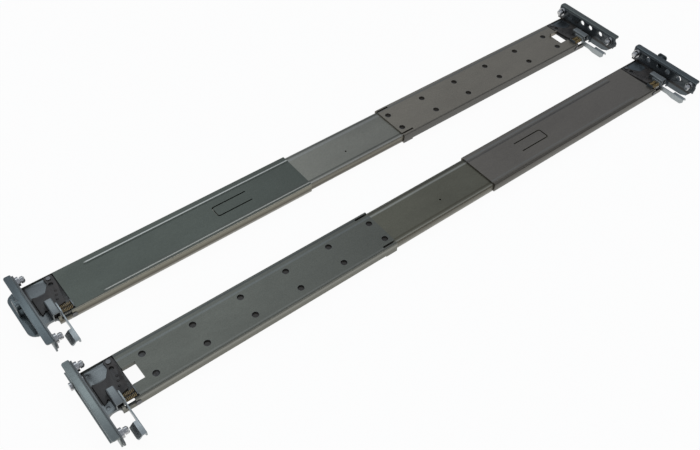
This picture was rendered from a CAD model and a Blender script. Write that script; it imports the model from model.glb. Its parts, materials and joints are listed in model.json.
"""Dresses the pair of sliding server rails: finishes, springs, hole rims, sheet edges, camera and floor."""

import json
import math

import bmesh
import bpy
from mathutils import Matrix, Vector


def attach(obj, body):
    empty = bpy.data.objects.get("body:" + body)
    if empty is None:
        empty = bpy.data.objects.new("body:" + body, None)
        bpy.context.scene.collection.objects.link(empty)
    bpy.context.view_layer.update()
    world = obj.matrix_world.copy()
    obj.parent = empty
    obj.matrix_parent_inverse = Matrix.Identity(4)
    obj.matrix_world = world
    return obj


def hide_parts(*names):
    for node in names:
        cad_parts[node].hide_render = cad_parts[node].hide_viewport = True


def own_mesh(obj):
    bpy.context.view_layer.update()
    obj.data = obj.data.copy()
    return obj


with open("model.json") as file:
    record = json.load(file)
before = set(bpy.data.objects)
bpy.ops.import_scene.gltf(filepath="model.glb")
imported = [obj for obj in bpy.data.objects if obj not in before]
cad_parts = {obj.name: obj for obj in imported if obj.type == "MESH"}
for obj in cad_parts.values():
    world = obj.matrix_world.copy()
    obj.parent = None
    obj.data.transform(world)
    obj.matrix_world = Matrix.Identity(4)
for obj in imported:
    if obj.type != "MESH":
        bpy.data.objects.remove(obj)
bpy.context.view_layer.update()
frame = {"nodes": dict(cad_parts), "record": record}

bl_info = {
    "name": "Sliding Server Rails",
    "version": (1, 0, 0),
    "blender": (4, 5, 0),
    "location": "3D View > Sidebar > Rails",
    "description": "Finishes, springs, hole rims, rounded edges and light for a pair of sliding server rails",
    "category": "Object",
}

MM = 0.001
SIDES = ("left", "right")
ENDS = ("front", "rear")

# ---------------------------------------------------------------- layout of the pair, as the CAD has it
HALF_SPREAD = 368.45 * MM                      # the front plates stand this far each side of the middle
DEPTH = {"left": 729.0 * MM, "right": 736.0 * MM}
ROW = {"left": 68.5 * MM, "right": -43.7 * MM}  # middle of each rail's web
WEB_TOP = 12.3 * MM
HOLE_LINE = -11.7 * MM                         # the rack's hole pattern from the middle of the web
REAR_CHANNEL = 311.0 * MM                      # its length, from the rear plate
FLANGE_DEPTH = 10.1                            # millimetres, from the web's face to the flange's edge


def along(side, end, near):
    """The X of a place measured from the outer face of one end's plate."""
    run = near if end == "front" else DEPTH[side] - near
    return run - HALF_SPREAD if side == "left" else HALF_SPREAD - run


# ---------------------------------------------------------------- settings
def colour_setting(name, description, default):
    """A colour with its own name and help text."""
    return bpy.props.FloatVectorProperty(name=name, description=description, default=default,
                                         size=3, min=0.0, max=1.0, subtype="COLOR")


def length_setting(name, description, default):
    """A length in metres."""
    return bpy.props.FloatProperty(name=name, description=description, default=default,
                                   min=0.0, subtype="DISTANCE", unit="LENGTH")


class RailFinishes(bpy.types.PropertyGroup):
    """Colours of the metal finishes."""
    channel: colour_setting("Channel zinc", "Plated sheet of the outer channels", (0.165, 0.164, 0.150))
    member: colour_setting("Slide member zinc", "Plated sheet of the slide members", (0.190, 0.188, 0.172))
    plate: colour_setting("End plate zinc", "Plated sheet of the end plates and brackets",
                          (0.185, 0.200, 0.202))
    black: colour_setting("Latch black", "Coated sheet of the latch blades", (0.020, 0.017, 0.015))
    bright: colour_setting("Bright steel", "Turned pegs, pins and rivets", (0.42, 0.42, 0.42))
    spring: colour_setting("Spring yellow", "Passivated spring wire", (0.40, 0.30, 0.15))
    grease: colour_setting("Grease", "Dark grease round the latches and on the covered slide",
                           (0.018, 0.014, 0.011))


class RailSizes(bpy.types.PropertyGroup):
    """Sizes of the small added pieces."""
    wire: length_setting("Spring wire", "Radius of the latch spring wire", 0.24 * MM)
    spring_radius: length_setting("Spring radius", "Radius of the latch springs to the middle of the wire",
                                  1.6 * MM)
    spring_turns: bpy.props.IntProperty(name="Spring turns", description="Turns in each latch spring",
                                        default=7, min=3)
    rim: length_setting("Rim thickness", "Half the thickness of the rolled rim round each web hole",
                        0.14 * MM)
    rim_radius: length_setting("Rim radius", "Radius of the rolled rim round each web hole", 3.3 * MM)
    edge: length_setting("Edge rounding", "How far the sheet edges are rounded over", 0.16 * MM)


class StageSettings(bpy.types.PropertyGroup):
    """Camera and floor."""
    lens: bpy.props.FloatProperty(name="Lens", description="Focal length of the camera", default=44.115,
                                  min=10.0, subtype="DISTANCE_CAMERA")
    floor: colour_setting("Floor", "Colour of the floor", (0.86, 0.86, 0.86))
    world: colour_setting("Sky", "Light that comes from all round", (0.44, 0.47, 0.52))
    glow: bpy.props.FloatProperty(name="Floor glow", description="Share of the floor that shines by itself",
                                  default=0.95, min=0.0, max=1.0)


# ---------------------------------------------------------------- node helpers
def add(tree, kind, **values):
    """A shader or geometry node with its plain attributes set."""
    node = tree.nodes.new(kind)
    for key, value in values.items():
        setattr(node, key, value)
    return node


def fill(node, **values):
    """Set a node's input values by name, with spaces written as underscores."""
    for key, value in values.items():
        node.inputs[key.replace("_", " ")].default_value = value
    return node


def grain(tree, scale, stretch, detail=4.0, offset=(0.0, 0.0, 0.0)):
    """Noise in the object's own coordinates, drawn out along the rail."""
    coordinates = add(tree, "ShaderNodeTexCoord")
    mapping = add(tree, "ShaderNodeMapping")
    mapping.inputs["Scale"].default_value = stretch
    mapping.inputs["Location"].default_value = offset
    noise = fill(add(tree, "ShaderNodeTexNoise"), Scale=scale, Detail=detail, Roughness=0.6)
    tree.links.new(coordinates.outputs["Object"], mapping.inputs["Vector"])
    tree.links.new(mapping.outputs["Vector"], noise.inputs["Vector"])
    return noise.outputs["Fac"]


def ramp(tree, source, low, high, start=0.0, end=1.0):
    """Remap a value between two limits."""
    node = add(tree, "ShaderNodeMapRange")
    node.inputs["From Min"].default_value = start
    node.inputs["From Max"].default_value = end
    node.inputs["To Min"].default_value = low
    node.inputs["To Max"].default_value = high
    tree.links.new(source, node.inputs["Value"])
    return node.outputs["Result"]


def shade(tree, colour, factor_source):
    """A colour made lighter and darker by a value around one."""
    node = add(tree, "ShaderNodeVectorMath", operation="SCALE")
    node.inputs[0].default_value = colour
    tree.links.new(factor_source, node.inputs["Scale"])
    return node.outputs["Vector"]


def tint(tree, first, second, factor):
    """Mix two colours, given as sockets or values, by a value."""
    node = add(tree, "ShaderNodeMix", data_type="RGBA")
    a, b = node.inputs[6], node.inputs[7]
    for socket, value in ((a, first), (b, second)):
        if isinstance(value, bpy.types.NodeSocket):
            tree.links.new(value, socket)
        else:
            socket.default_value = (*value, 1.0)
    if isinstance(factor, bpy.types.NodeSocket):
        tree.links.new(factor, node.inputs[0])
    else:
        node.inputs[0].default_value = factor
    return node.outputs[2]


def mixed(tree, first, second, factor):
    """Mix two plain values by a value."""
    node = add(tree, "ShaderNodeMix", data_type="FLOAT")
    node.inputs[2].default_value = first
    node.inputs[3].default_value = second
    tree.links.new(factor, node.inputs[0])
    return node.outputs[0]


def combine(tree, operation, *sources):
    """Several values joined by one operation, such as MULTIPLY or MAXIMUM."""
    result = sources[0]
    for source in sources[1:]:
        node = add(tree, "ShaderNodeMath", operation=operation)
        tree.links.new(result, node.inputs[0])
        tree.links.new(source, node.inputs[1])
        result = node.outputs[0]
    return result


def position(tree):
    """The object's own X, Y and Z."""
    coordinates = add(tree, "ShaderNodeTexCoord")
    parts = add(tree, "ShaderNodeSeparateXYZ")
    tree.links.new(coordinates.outputs["Object"], parts.inputs[0])
    return parts.outputs


def band(tree, source, start, full, fade, end):
    """One between full and fade, falling to nought at start and end."""
    rise = ramp(tree, source, 0.0, 1.0, start, full)
    fall = ramp(tree, source, 1.0, 0.0, fade, end)
    return combine(tree, "MULTIPLY", rise, fall)


def new_material(name):
    """An empty material and its Principled shader."""
    material = bpy.data.materials.new(name)
    material.use_nodes = True
    tree = material.node_tree
    return material, tree, tree.nodes["Principled BSDF"]


def bump(tree, shader, height, strength, distance):
    """Relief from a value."""
    node = add(tree, "ShaderNodeBump")
    node.inputs["Strength"].default_value = strength
    node.inputs["Distance"].default_value = distance
    tree.links.new(height, node.inputs["Height"])
    tree.links.new(node.outputs["Normal"], shader.inputs["Normal"])


def plated_sheet(name, colour, rough=0.40, mottle=0.045, metallic=0.9, stain=None, grease=None, section=None):
    """Zinc-plated rolled sheet: fine rolling grain, faint clouds, bands where section says and grease where
    stain says."""
    material, tree, shader = new_material(name)
    fine = grain(tree, 1300.0, (0.10, 1.0, 1.0), 3.0)
    cloud = grain(tree, 45.0, (0.35, 1.0, 1.0), 4.0, (0.3, 0.1, 0.0))
    salt = grain(tree, 1900.0, (1.0, 1.0, 1.0), 2.0, (1.3, 2.1, 0.4))
    tone = add(tree, "ShaderNodeMath", operation="ADD")
    tree.links.new(ramp(tree, cloud, 1.0 - mottle, 1.0 + mottle, 0.3, 0.7), tone.inputs[0])
    tree.links.new(ramp(tree, fine, -0.05, 0.05, 0.3, 0.7), tone.inputs[1])
    both = add(tree, "ShaderNodeMath", operation="ADD")
    tree.links.new(tone.outputs[0], both.inputs[0])
    tree.links.new(ramp(tree, salt, -0.16, 0.16, 0.3, 0.7), both.inputs[1])
    if section:
        base = add(tree, "ShaderNodeVectorMath", operation="SCALE")
        tree.links.new(section(tree, colour), base.inputs[0])
        tree.links.new(both.outputs[0], base.inputs["Scale"])
        base = base.outputs[0]
    else:
        base = shade(tree, colour, both.outputs[0])
    matt = ramp(tree, cloud, rough - 0.05, rough + 0.06, 0.3, 0.7)
    shine = metallic
    if stain:
        dirty = stain(tree)
        base = tint(tree, base, grease, dirty)
        shine = mixed(tree, metallic, 0.25, dirty)
        tree.links.new(shine, shader.inputs["Metallic"])
    else:
        shader.inputs["Metallic"].default_value = shine
    tree.links.new(base, shader.inputs["Base Color"])
    tree.links.new(matt, shader.inputs["Roughness"])
    bump(tree, shader, fine, 0.18, 0.00003)
    return material


def coated_black(name, colour):
    """Black coated sheet with oily, brownish patches."""
    material, tree, shader = new_material(name)
    cloud = grain(tree, 130.0, (1.0, 1.0, 1.0), 5.0)
    oily = tuple(c * 2.4 + 0.004 for c in colour)
    patchy = tint(tree, colour, oily, ramp(tree, cloud, 0.0, 1.0, 0.4, 0.7))
    tree.links.new(patchy, shader.inputs["Base Color"])
    tree.links.new(ramp(tree, cloud, 0.32, 0.55, 0.3, 0.7), shader.inputs["Roughness"])
    bump(tree, shader, cloud, 0.2, 0.00005)
    return material


def turned_steel(name, colour, rough=0.25):
    """Bright turned or drawn steel."""
    material, tree, shader = new_material(name)
    fine = grain(tree, 1500.0, (1.0, 0.2, 0.2), 2.0)
    tree.links.new(shade(tree, colour, ramp(tree, fine, 0.85, 1.12, 0.3, 0.7)), shader.inputs["Base Color"])
    tree.links.new(ramp(tree, fine, rough - 0.06, rough + 0.08, 0.3, 0.7), shader.inputs["Roughness"])
    shader.inputs["Metallic"].default_value = 1.0
    bump(tree, shader, fine, 0.15, 0.00002)
    return material


# ---------------------------------------------------------------- bands along a rolled section
CHANNEL_HALF = 25.35 * MM
MEMBER_HALF = 23.8 * MM
BEAD_START = 62.0 * MM


def rolled_section(side, end, half, flange, lines):
    """Polished lines along the web and the changing brightness down the flanges of one rolled length.

    flange is a list of (depth, tone); lines is a list of (across, half width, tone), all in millimetres.
    """
    def section(tree, colour):
        x, y, z = position(tree)
        base = None
        for across, reach, tone in lines:
            middle = ROW[side] + across * MM
            line = band(tree, y, middle - reach * MM, middle - reach * MM * 0.45,
                        middle + reach * MM * 0.45, middle + reach * MM)
            if end == "front" and half == CHANNEL_HALF:
                starts = (along(side, end, BEAD_START), along(side, end, BEAD_START + 3.0 * MM))
                line = combine(tree, "MULTIPLY", line, ramp(tree, x, 0.0, 1.0, *starts))
            base = tint(tree, base or colour, tone, line)
        shades = add(tree, "ShaderNodeValToRGB")
        depth = ramp(tree, z, 1.0, 0.0, WEB_TOP - FLANGE_DEPTH * MM, WEB_TOP)
        tree.links.new(depth, shades.inputs["Fac"])
        stops = shades.color_ramp.elements
        while len(stops) < len(flange):
            stops.new(0.5)
        for stop, (down, tone) in zip(stops, flange):
            stop.position = down / FLANGE_DEPTH
        for stop, (down, tone) in zip(stops, flange):
            stop.color = (*tone, 1.0)
        away = add(tree, "ShaderNodeMath", operation="SUBTRACT")
        tree.links.new(y, away.inputs[0])
        away.inputs[1].default_value = ROW[side]
        side_on = add(tree, "ShaderNodeMath", operation="ABSOLUTE")
        tree.links.new(away.outputs[0], side_on.inputs[0])
        on_flange = ramp(tree, side_on.outputs[0], 0.0, 1.0, half - 1.4 * MM, half - 0.5 * MM)
        return tint(tree, base or colour, shades.outputs["Color"], on_flange)
    return section


BANDS = {                      # flange tones by depth, then polished lines across the web
    "left_front_channel": (
        ((0.0, (0.30, 0.29, 0.24)), (3.5, (0.20, 0.19, 0.15)), (6.8, (0.105, 0.095, 0.075)),
         (8.6, (0.26, 0.25, 0.22)), (FLANGE_DEPTH, (0.34, 0.33, 0.30))),
        ((18.3, 0.9, (0.46, 0.46, 0.43)), (15.6, 1.0, (0.075, 0.085, 0.075)),
         (-22.0, 1.0, (0.46, 0.45, 0.41)), (-19.4, 1.0, (0.085, 0.090, 0.080)))),
    "left_cabinet_member": (
        ((1.5, (0.18, 0.17, 0.14)), (5.0, (0.165, 0.155, 0.125)), (7.3, (0.092, 0.083, 0.066)),
         (9.0, (0.19, 0.18, 0.155)), (FLANGE_DEPTH, (0.30, 0.29, 0.27))),
        ((17.6, 1.8, (0.27, 0.27, 0.25)), (21.0, 1.2, (0.115, 0.118, 0.108)),
         (-22.2, 1.2, (0.34, 0.33, 0.30)), (-19.2, 1.4, (0.120, 0.120, 0.105)))),
    "left_rear_channel": (
        ((0.0, (0.105, 0.100, 0.090)), (5.0, (0.100, 0.097, 0.088)), (FLANGE_DEPTH, (0.120, 0.116, 0.108))),
        ((20.6, 1.6, (0.175, 0.172, 0.158)),)),
    "right_rear_channel": (
        ((0.0, (0.115, 0.115, 0.098)), (2.8, (0.25, 0.25, 0.22)), (5.8, (0.165, 0.163, 0.137)),
         (FLANGE_DEPTH, (0.160, 0.157, 0.132))),
        ((22.2, 1.3, (0.080, 0.085, 0.080)), (17.0, 1.5, (0.150, 0.157, 0.148)),
         (-22.4, 0.9, (0.160, 0.160, 0.144)))),
    "right_cabinet_member": (
        ((1.5, (0.090, 0.083, 0.063)), (5.3, (0.130, 0.124, 0.100)), (8.3, (0.21, 0.205, 0.175)),
         (FLANGE_DEPTH, (0.30, 0.29, 0.26))),
        ((17.4, 1.5, (0.30, 0.30, 0.265)), (20.8, 1.2, (0.085, 0.082, 0.068)),
         (-22.3, 1.2, (0.30, 0.285, 0.235)), (-19.0, 1.3, (0.108, 0.100, 0.074)))),
    "right_front_channel": (
        ((0.0, (0.068, 0.062, 0.053)), (3.8, (0.092, 0.087, 0.074)), (6.8, (0.125, 0.118, 0.102)),
         (FLANGE_DEPTH, (0.175, 0.170, 0.155))),
        ((19.4, 1.4, (0.200, 0.198, 0.186)), (15.8, 1.3, (0.120, 0.114, 0.106)),
         (-19.8, 1.3, (0.195, 0.188, 0.170)), (-23.4, 1.0, (0.118, 0.108, 0.092)))),
}


def banded(name, side, end):
    """The rolled section of a channel or of the slide member that shows between the channels."""
    flange, lines = BANDS[name]
    half = MEMBER_HALF if "member" in name else CHANNEL_HALF
    return rolled_section(side, end, half, flange, lines)


# ---------------------------------------------------------------- where grease and dirt lie
def latch_grease(side, end):
    """The bracket's floor is dark round the moving blade and clean in two patches beside it."""
    def stain(tree):
        x, y, z = position(tree)
        x_at = lambda near: along(side, end, near * MM)
        y_at = lambda across: ROW[side] + HOLE_LINE + across * MM
        ragged = grain(tree, 420.0, (1.0, 1.0, 1.0), 3.0)
        upper_x = band(tree, x, x_at(5.6), x_at(7.4), x_at(24.4), x_at(26.6))
        upper_y = band(tree, y, y_at(18.5), y_at(20.5), y_at(37.0), y_at(39.0))
        lower_x = band(tree, x, x_at(3.6), x_at(4.6), x_at(13.0), x_at(15.0))
        lower_y = band(tree, y, y_at(-19.0), y_at(-18.0), y_at(-2.5), y_at(-0.5))
        clean = combine(tree, "MAXIMUM", combine(tree, "MULTIPLY", upper_x, upper_y),
                        combine(tree, "MULTIPLY", lower_x, lower_y))
        wall = ramp(tree, z, 0.0, 0.62, WEB_TOP - 0.6 * MM, WEB_TOP + 0.6 * MM)
        under = ramp(tree, z, 1.0, 0.0, WEB_TOP - 3.6 * MM, WEB_TOP - 3.0 * MM)
        clean = combine(tree, "MAXIMUM", clean, wall, under)
        dirty = ramp(tree, clean, 0.97, 0.0)
        rough_edge = ramp(tree, ragged, 0.75, 1.0, 0.35, 0.6)
        return combine(tree, "MULTIPLY", dirty, rough_edge)
    return stain


def slide_grease(side):
    """The slide is dark with old grease where the rear channel covers it."""
    def stain(tree):
        x, y, z = position(tree)
        start = along(side, "rear", REAR_CHANNEL - 1.0 * MM)
        full = along(side, "rear", REAR_CHANNEL - 3.5 * MM)
        dirty = ramp(tree, x, 0.0, 0.97, start, full)
        top = ramp(tree, z, 0.0, 1.0, WEB_TOP - 3.2 * MM, WEB_TOP - 2.4 * MM)
        return combine(tree, "MULTIPLY", dirty, top)
    return stain


# ---------------------------------------------------------------- which node gets which finish
FINISH_OF = {
    "channel": "channel", "cabinet_member": "member",
    "intermediate_member": "inner", "chassis_member": "inner",
    "bracket": "bracket", "plate": "plate", "pegs": "bright", "stud": "bright", "latch_pin": "dull",
    "rivets": "dull", "latch_arm": "black", "latch_hook": "plate", "release_lever": "lever",
    "latch_springs": "spring", "outer_ball_cage": "inner", "inner_ball_cage": "inner",
    "outer_balls": "bright", "inner_balls": "bright", "slide_release": "black",
}
TONES = {                      # how each visible length of sheet differs from its finish
    "left_front_channel": (0.54, 0.60, 0.57),
    "left_rear_channel": (1.47, 1.34, 1.21),
    "right_front_channel": (1.09, 1.00, 0.95),
    "right_rear_channel": (0.76, 0.78, 0.74),
    "left_cabinet_member": (1.20, 1.19, 1.12),
    "right_cabinet_member": (0.77, 0.75, 0.63),
    "left_rear_bracket": (0.55, 0.58, 0.62),
    "left_rear_plate": (0.62, 0.63, 0.60),
    "right_front_bracket": (0.50, 0.54, 0.58),
    "right_front_plate": (0.52, 0.56, 0.58),
    "left_front_plate": (0.72, 0.78, 0.80),
    "right_rear_plate": (1.12, 1.16, 1.12),
}


def split_name(node):
    """A node's side, its end (or None) and its plain name."""
    words = node.split("_")
    side = words.pop(0)
    end = words.pop(0) if words[0] in ENDS else None
    return side, end, "_".join(words)


def body_of_node(node):
    """The name of the body that carries a CAD node."""
    for body, nodes in frame["record"]["behaviour"]["bodies"].items():
        if node in nodes:
            return body
    raise RuntimeError("no body carries " + node)


def toned(colour, node):
    """A finish's colour with the tone of one node."""
    return tuple(c * t for c, t in zip(colour, TONES.get(node, (1.0, 1.0, 1.0))))


class RAIL_OT_finishes(bpy.types.Operator):
    """Give every part of the rails its metal finish"""
    bl_idname = "rail.finishes"
    bl_label = "Metal finishes"

    def execute(self, context):
        settings = context.scene.rail_finishes
        grease = tuple(settings.grease)
        shared = {
            "plate": plated_sheet("plate_zinc", tuple(settings.plate), rough=0.36),
            "lever": plated_sheet("lever_zinc", tuple(c * 1.8 for c in settings.plate), rough=0.38),
            "inner": plated_sheet("inner_zinc", tuple(settings.member), rough=0.36),
            "black": coated_black("latch_black", tuple(settings.black)),
            "bright": turned_steel("bright_steel", tuple(settings.bright), rough=0.14),
            "dull": turned_steel("dull_steel", tuple(c * 0.35 for c in settings.bright), rough=0.4),
            "spring": turned_steel("spring_yellow", tuple(settings.spring), rough=0.35),
        }
        for name, node in frame["nodes"].items():
            side, end, plain = split_name(name)
            finish = FINISH_OF[plain]
            if finish == "channel":
                material = plated_sheet(name + "_zinc", toned(settings.channel, name),
                                        section=banded(name, side, end))
            elif finish == "member":
                stain = slide_grease(side)
                material = plated_sheet(name + "_zinc", toned(settings.member, name), 0.36, stain=stain,
                                        grease=grease, section=banded(name, side, end))
            elif finish == "bracket":
                stain = latch_grease(side, end)
                material = plated_sheet(name + "_zinc", toned(settings.plate, name), 0.36, stain=stain,
                                        grease=grease)
            elif finish == "plate" and name in TONES:
                material = plated_sheet(name + "_zinc", toned(settings.plate, name), 0.36)
            else:
                material = shared[finish]
            node.data.materials.clear()
            node.data.materials.append(material)
        return {"FINISHED"}


# ---------------------------------------------------------------- pieces made by Geometry Nodes
def node_tree(name, inputs):
    """A Geometry Nodes tree with named inputs and one geometry output."""
    tree = bpy.data.node_groups.new(name, "GeometryNodeTree")
    sockets = {}
    for label, kind in inputs:
        sockets[label] = tree.interface.new_socket(label, in_out="INPUT", socket_type=kind).identifier
    tree.interface.new_socket("Geometry", in_out="OUTPUT", socket_type="NodeSocketGeometry")
    return tree, add(tree, "NodeGroupInput"), add(tree, "NodeGroupOutput"), sockets


def finish_tree(tree, geometry, source, output, material_input="Material"):
    """Turn instances into real faces, give them their material and send them out."""
    real = add(tree, "GeometryNodeRealizeInstances")
    paint = add(tree, "GeometryNodeSetMaterial")
    tree.links.new(geometry, real.inputs[0])
    tree.links.new(real.outputs[0], paint.inputs[0])
    tree.links.new(source.outputs[material_input], paint.inputs["Material"])
    tree.links.new(paint.outputs[0], output.inputs[0])


def run_tree(name, tree, sockets, values, body):
    """Run a tree once and keep the result as a plain mesh that rides on a body."""
    holder = bpy.data.objects.new(name + "_maker", bpy.data.meshes.new(name + "_maker"))
    bpy.context.scene.collection.objects.link(holder)
    modifier = holder.modifiers.new("maker", "NODES")
    modifier.node_group = tree
    for label, value in values.items():
        modifier[sockets[label]] = value
    bpy.context.view_layer.update()
    evaluated = holder.evaluated_get(bpy.context.evaluated_depsgraph_get())
    mesh = bpy.data.meshes.new_from_object(evaluated)
    holder.modifiers.clear()
    bpy.data.objects.remove(holder)
    if not mesh.polygons:
        raise RuntimeError(name + " came out empty")
    mesh.name = name
    for face in mesh.polygons:
        face.use_smooth = True
    piece = bpy.data.objects.new(name, mesh)
    bpy.context.scene.collection.objects.link(piece)
    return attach(piece, body)


def spring_tree():
    """Two coils side by side, each wound along X from the start point."""
    inputs = [("Start", "NodeSocketVector"), ("Length", "NodeSocketFloat"), ("Row step", "NodeSocketFloat"),
              ("Radius", "NodeSocketFloat"), ("Wire", "NodeSocketFloat"), ("Turns", "NodeSocketFloat"),
              ("Material", "NodeSocketMaterial")]
    tree, source, output, sockets = node_tree("latch springs", inputs)
    coil = fill(add(tree, "GeometryNodeCurveSpiral"), Resolution=14)
    tree.links.new(source.outputs["Turns"], coil.inputs["Rotations"])
    tree.links.new(source.outputs["Radius"], coil.inputs["Start Radius"])
    tree.links.new(source.outputs["Radius"], coil.inputs["End Radius"])
    tree.links.new(source.outputs["Length"], coil.inputs["Height"])
    profile = fill(add(tree, "GeometryNodeCurvePrimitiveCircle"), Resolution=8)
    tree.links.new(source.outputs["Wire"], profile.inputs["Radius"])
    wire = add(tree, "GeometryNodeCurveToMesh")
    wire.inputs["Fill Caps"].default_value = True
    tree.links.new(coil.outputs[0], wire.inputs["Curve"])
    tree.links.new(profile.outputs[0], wire.inputs["Profile Curve"])
    laid = add(tree, "GeometryNodeTransform")
    laid.inputs["Rotation"].default_value = (0.0, math.pi / 2, 0.0)
    tree.links.new(wire.outputs[0], laid.inputs["Geometry"])
    step = add(tree, "ShaderNodeCombineXYZ")
    tree.links.new(source.outputs["Row step"], step.inputs["Y"])
    rows = add(tree, "GeometryNodeMeshLine")
    rows.inputs["Count"].default_value = 2
    tree.links.new(source.outputs["Start"], rows.inputs["Start Location"])
    tree.links.new(step.outputs[0], rows.inputs["Offset"])
    pair = add(tree, "GeometryNodeInstanceOnPoints")
    tree.links.new(rows.outputs[0], pair.inputs["Points"])
    tree.links.new(laid.outputs[0], pair.inputs["Instance"])
    finish_tree(tree, pair.outputs[0], source, output)
    return tree, sockets


SPRING_NEAR = 21.9 * MM         # from the lever's strip to the lug, and the two rows
SPRING_FAR = 32.6 * MM
SPRING_ROWS = (-5.3 * MM, -9.9 * MM)
SPRING_HEIGHT = 0.9 * MM


class RAIL_OT_springs(bpy.types.Operator):
    """Wind the pair of return springs behind each latch"""
    bl_idname = "rail.springs"
    bl_label = "Latch springs"

    def execute(self, context):
        sizes = context.scene.rail_sizes
        tree, sockets = spring_tree()
        material = bpy.data.materials["spring_yellow"]
        for side in SIDES:
            for end in ENDS:
                node = side + "_" + end + "_latch_springs"
                near = along(side, end, SPRING_NEAR + sizes.wire)
                far = along(side, end, SPRING_FAR - sizes.wire)
                low = min(near, far)
                rows = [ROW[side] + HOLE_LINE + row for row in SPRING_ROWS]
                values = {
                    "Start": (low, rows[0], WEB_TOP + SPRING_HEIGHT),
                    "Length": abs(far - near),
                    "Row step": rows[1] - rows[0],
                    "Radius": sizes.spring_radius,
                    "Wire": sizes.wire,
                    "Turns": float(sizes.spring_turns),
                    "Material": material,
                }
                piece = run_tree(node + "_wound", tree, sockets, values, body_of_node(node))
                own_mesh(piece)
                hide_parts(node)
        return {"FINISHED"}


def rim_tree():
    """A grid of thin rolled rings."""
    inputs = [("First", "NodeSocketVector"), ("Pitch", "NodeSocketFloat"), ("Row spacing", "NodeSocketFloat"),
              ("Columns", "NodeSocketInt"), ("Radius", "NodeSocketFloat"), ("Rim", "NodeSocketFloat"),
              ("Material", "NodeSocketMaterial")]
    tree, source, output, sockets = node_tree("hole rims", inputs)
    ring = fill(add(tree, "GeometryNodeCurvePrimitiveCircle"), Resolution=32)
    tree.links.new(source.outputs["Radius"], ring.inputs["Radius"])
    profile = fill(add(tree, "GeometryNodeCurvePrimitiveCircle"), Resolution=8)
    tree.links.new(source.outputs["Rim"], profile.inputs["Radius"])
    rim = add(tree, "GeometryNodeCurveToMesh")
    tree.links.new(ring.outputs[0], rim.inputs["Curve"])
    tree.links.new(profile.outputs[0], rim.inputs["Profile Curve"])
    last = add(tree, "ShaderNodeMath", operation="SUBTRACT")
    last.inputs[1].default_value = 1.0
    tree.links.new(source.outputs["Columns"], last.inputs[0])
    length = add(tree, "ShaderNodeMath", operation="MULTIPLY")
    tree.links.new(last.outputs[0], length.inputs[0])
    tree.links.new(source.outputs["Pitch"], length.inputs[1])
    points = add(tree, "GeometryNodeMeshGrid")
    points.inputs["Vertices Y"].default_value = 2
    tree.links.new(length.outputs[0], points.inputs["Size X"])
    tree.links.new(source.outputs["Row spacing"], points.inputs["Size Y"])
    tree.links.new(source.outputs["Columns"], points.inputs["Vertices X"])
    laid = add(tree, "GeometryNodeTransform")
    tree.links.new(points.outputs[0], laid.inputs["Geometry"])
    tree.links.new(source.outputs["First"], laid.inputs["Translation"])
    many = add(tree, "GeometryNodeInstanceOnPoints")
    tree.links.new(laid.outputs[0], many.inputs["Points"])
    tree.links.new(rim.outputs[0], many.inputs["Instance"])
    finish_tree(tree, many.outputs[0], source, output)
    return tree, sockets


HOLE_FIRST = 55.0 * MM          # the rear channel's web holes
HOLE_PITCH = 49.9 * MM
HOLE_COLUMNS = 6
HOLE_ROWS = 24.0 * MM
HOLE_OFFSET = -1.6 * MM


class RAIL_OT_rims(bpy.types.Operator):
    """Roll a fine rim round each hole in the rear channels"""
    bl_idname = "rail.rims"
    bl_label = "Hole rims"

    def execute(self, context):
        sizes = context.scene.rail_sizes
        tree, sockets = rim_tree()
        middle = HOLE_FIRST + HOLE_PITCH * (HOLE_COLUMNS - 1) / 2
        for side in SIDES:
            values = {
                "First": (along(side, "rear", middle), ROW[side] + HOLE_OFFSET, WEB_TOP - sizes.rim * 0.6),
                "Pitch": HOLE_PITCH,
                "Row spacing": HOLE_ROWS,
                "Columns": HOLE_COLUMNS,
                "Radius": sizes.rim_radius,
                "Rim": sizes.rim,
                "Material": bpy.data.materials["dull_steel"],
            }
            run_tree(side + "_hole_rims", tree, sockets, values, body_of_node(side + "_rear_channel"))
        return {"FINISHED"}


# ---------------------------------------------------------------- rounded sheet edges
EDGED = ("plate", "bracket", "latch_hook", "release_lever", "latch_arm")


def rounded_copy(node, width):
    """A merged copy of a CAD piece with its sharp edges rounded over."""
    mesh = node.data.copy()
    body = bmesh.new()
    body.from_mesh(mesh)
    body.transform(node.matrix_world)
    bmesh.ops.remove_doubles(body, verts=body.verts, dist=0.002 * MM)
    bmesh.ops.dissolve_limit(body, angle_limit=math.radians(1.0), verts=body.verts, edges=body.edges)
    body.to_mesh(mesh)
    body.free()
    copy = bpy.data.objects.new(node.name + "_edged", mesh)
    bpy.context.scene.collection.objects.link(copy)
    soften = copy.modifiers.new("edges", "BEVEL")
    soften.width = width
    soften.segments = 2
    soften.limit_method = "ANGLE"
    soften.angle_limit = math.radians(40.0)
    soften.use_clamp_overlap = True
    bpy.context.view_layer.update()
    evaluated = copy.evaluated_get(bpy.context.evaluated_depsgraph_get())
    final = bpy.data.meshes.new_from_object(evaluated)
    copy.modifiers.clear()
    copy.data = final
    return copy


class RAIL_OT_edges(bpy.types.Operator):
    """Round over the sheet edges of the plates, brackets and latches"""
    bl_idname = "rail.edges"
    bl_label = "Sheet edges"

    def execute(self, context):
        width = context.scene.rail_sizes.edge
        for name, node in frame["nodes"].items():
            if split_name(name)[2] not in EDGED:
                continue
            copy = rounded_copy(node, width)
            for face in copy.data.polygons:
                face.use_smooth = True
            copy.data.set_sharp_from_angle(angle=math.radians(35.0))
            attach(copy, body_of_node(name))
            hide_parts(name)
        return {"FINISHED"}


# ---------------------------------------------------------------- stage
CAMERA_PLACE = (-0.44441, -0.44803, 0.63206)
CAMERA_HEADING = 0.8600          # radians, like the dip and the roll
CAMERA_DIP = 0.8360
CAMERA_ROLL = 0.0530
FLOOR_REACH = 6.0


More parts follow.
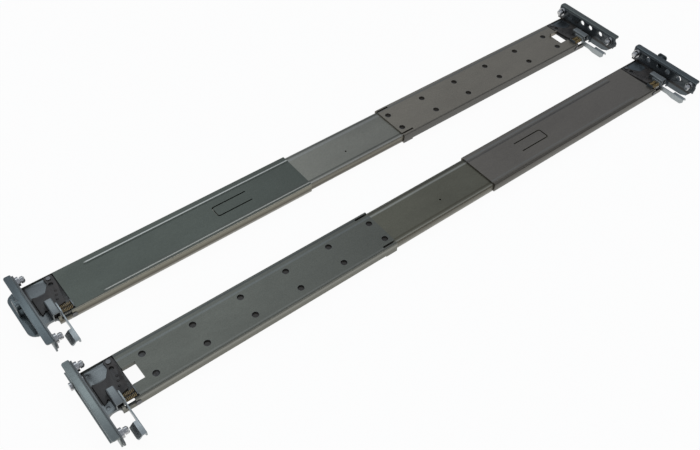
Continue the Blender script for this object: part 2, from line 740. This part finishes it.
def look_matrix(place, heading, dip, roll):
    """A camera's matrix from its place, heading, downward tilt and roll."""
    forward = Vector((math.cos(heading) * math.cos(dip), math.sin(heading) * math.cos(dip), -math.sin(dip)))
    right = Vector((math.sin(heading), -math.cos(heading), 0.0))
    up = right.cross(forward)
    turned_right = right * math.cos(roll) + up * math.sin(roll)
    turned_up = up * math.cos(roll) - right * math.sin(roll)
    matrix = Matrix((turned_right, turned_up, -forward)).transposed().to_4x4()
    matrix.translation = place
    return matrix


def soft_lamp(name, place, target, size, power, colour=(1.0, 1.0, 1.0)):
    """A large square lamp that faces a point."""
    lamp = bpy.data.lights.new(name, "AREA")
    lamp.shape = "RECTANGLE"
    lamp.size, lamp.size_y = size
    lamp.energy = power
    lamp.color = colour
    holder = bpy.data.objects.new(name, lamp)
    direction = Vector(target) - Vector(place)
    holder.matrix_world = Matrix.Translation(place) @ direction.to_track_quat("-Z", "Y").to_matrix().to_4x4()
    bpy.context.scene.collection.objects.link(holder)
    return holder


class RAIL_OT_stage(bpy.types.Operator):
    """Set the camera, the pale floor and the soft light"""
    bl_idname = "rail.stage"
    bl_label = "Camera, floor and light"

    def execute(self, context):
        settings = context.scene.rail_stage
        scene = context.scene
        scene.view_settings.view_transform = "Standard"
        camera = bpy.data.cameras.new("camera")
        camera.lens = settings.lens
        camera.sensor_width = 36.0
        camera.clip_start = 0.01
        holder = bpy.data.objects.new("camera", camera)
        holder.matrix_world = look_matrix(Vector(CAMERA_PLACE), CAMERA_HEADING, CAMERA_DIP, CAMERA_ROLL)
        scene.collection.objects.link(holder)
        scene.camera = holder

        mesh = bpy.data.meshes.new("floor")
        corners = [(x * FLOOR_REACH, y * FLOOR_REACH, 0) for x, y in ((-1, -1), (1, -1), (1, 1), (-1, 1))]
        mesh.from_pydata(corners, [], [(0, 1, 2, 3)])
        floor = bpy.data.objects.new("floor", mesh)
        scene.collection.objects.link(floor)
        material, tree, shader = new_material("floor_white")
        shader.inputs["Base Color"].default_value = (*settings.floor, 1.0)
        shader.inputs["Roughness"].default_value = 0.9
        shader.inputs["Specular IOR Level"].default_value = 0.1
        path = add(tree, "ShaderNodeLightPath")
        glow = fill(add(tree, "ShaderNodeEmission"), Color=(1, 1, 1, 1), Strength=1.0)
        seen = combine(tree, "MAXIMUM", path.outputs["Is Camera Ray"], path.outputs["Is Transmission Ray"],
                       path.outputs["Is Glossy Ray"])
        share = add(tree, "ShaderNodeMath", operation="MULTIPLY")
        share.inputs[1].default_value = settings.glow
        tree.links.new(seen, share.inputs[0])
        mix = add(tree, "ShaderNodeMixShader")
        tree.links.new(share.outputs[0], mix.inputs[0])
        tree.links.new(shader.outputs[0], mix.inputs[1])
        tree.links.new(glow.outputs[0], mix.inputs[2])
        tree.links.new(mix.outputs[0], tree.nodes["Material Output"].inputs["Surface"])
        mesh.materials.append(material)

        world = bpy.data.worlds.new("sky")
        world.use_nodes = True
        scene.world = world
        sky = world.node_tree
        background = sky.nodes["Background"]
        background.inputs["Color"].default_value = (*settings.world, 1.0)
        background.inputs["Strength"].default_value = 1.0
        white = fill(add(sky, "ShaderNodeBackground"), Color=(1, 1, 1, 1), Strength=1.0)
        path = add(sky, "ShaderNodeLightPath")
        mix = add(sky, "ShaderNodeMixShader")
        sky.links.new(path.outputs["Is Camera Ray"], mix.inputs[0])
        sky.links.new(background.outputs[0], mix.inputs[1])
        sky.links.new(white.outputs[0], mix.inputs[2])
        sky.links.new(mix.outputs[0], sky.nodes["World Output"].inputs["Surface"])

        lamps = [
            soft_lamp("lamp_high", (0.1, 1.4, 2.0), (0, 0, 0), (1.6, 1.2), 7.0, (0.88, 0.96, 1.0)),
            soft_lamp("lamp_side", (-1.6, -0.2, 1.3), (0, 0, 0), (1.0, 1.0), 5.0, (0.95, 0.98, 1.0)),
            soft_lamp("lamp_front", (0.6, -1.6, 1.4), (0, 0, 0), (1.2, 0.8), 5.0, (1.0, 0.97, 0.92)),
        ]
        return {"FINISHED"}


class RAIL_PT_panel(bpy.types.Panel):
    """Steps that dress the rails, in order"""
    bl_label = "Sliding server rails"
    bl_idname = "RAIL_PT_panel"
    bl_space_type = "VIEW_3D"
    bl_region_type = "UI"
    bl_category = "Rails"

    def draw(self, context):
        for operator in STEPS:
            self.layout.operator(operator.bl_idname)
        for group, _ in GROUPS:
            settings = getattr(context.scene, group)
            for name in settings.bl_rna.properties.keys():
                if name not in ("name", "rna_type"):
                    self.layout.prop(settings, name)


GROUPS = (("rail_finishes", RailFinishes), ("rail_sizes", RailSizes), ("rail_stage", StageSettings))
STEPS = (RAIL_OT_finishes, RAIL_OT_springs, RAIL_OT_rims, RAIL_OT_edges, RAIL_OT_stage)


def register():
    """Add the settings, steps and panel."""
    for name, group in GROUPS:
        bpy.utils.register_class(group)
        setattr(bpy.types.Scene, name, bpy.props.PointerProperty(type=group))
    for step in STEPS:
        bpy.utils.register_class(step)
    bpy.utils.register_class(RAIL_PT_panel)


def unregister():
    """Take away what register added."""
    bpy.utils.unregister_class(RAIL_PT_panel)
    for step in reversed(STEPS):
        bpy.utils.unregister_class(step)
    for name, group in reversed(GROUPS):
        delattr(bpy.types.Scene, name)
        bpy.utils.unregister_class(group)


def main():
    """Run every step in order and note the sizes before and after."""
    register()
    for step in STEPS:
        area, action = step.bl_idname.split(".")
        getattr(getattr(bpy.ops, area), action)()


if __name__ == "__main__":
    main()
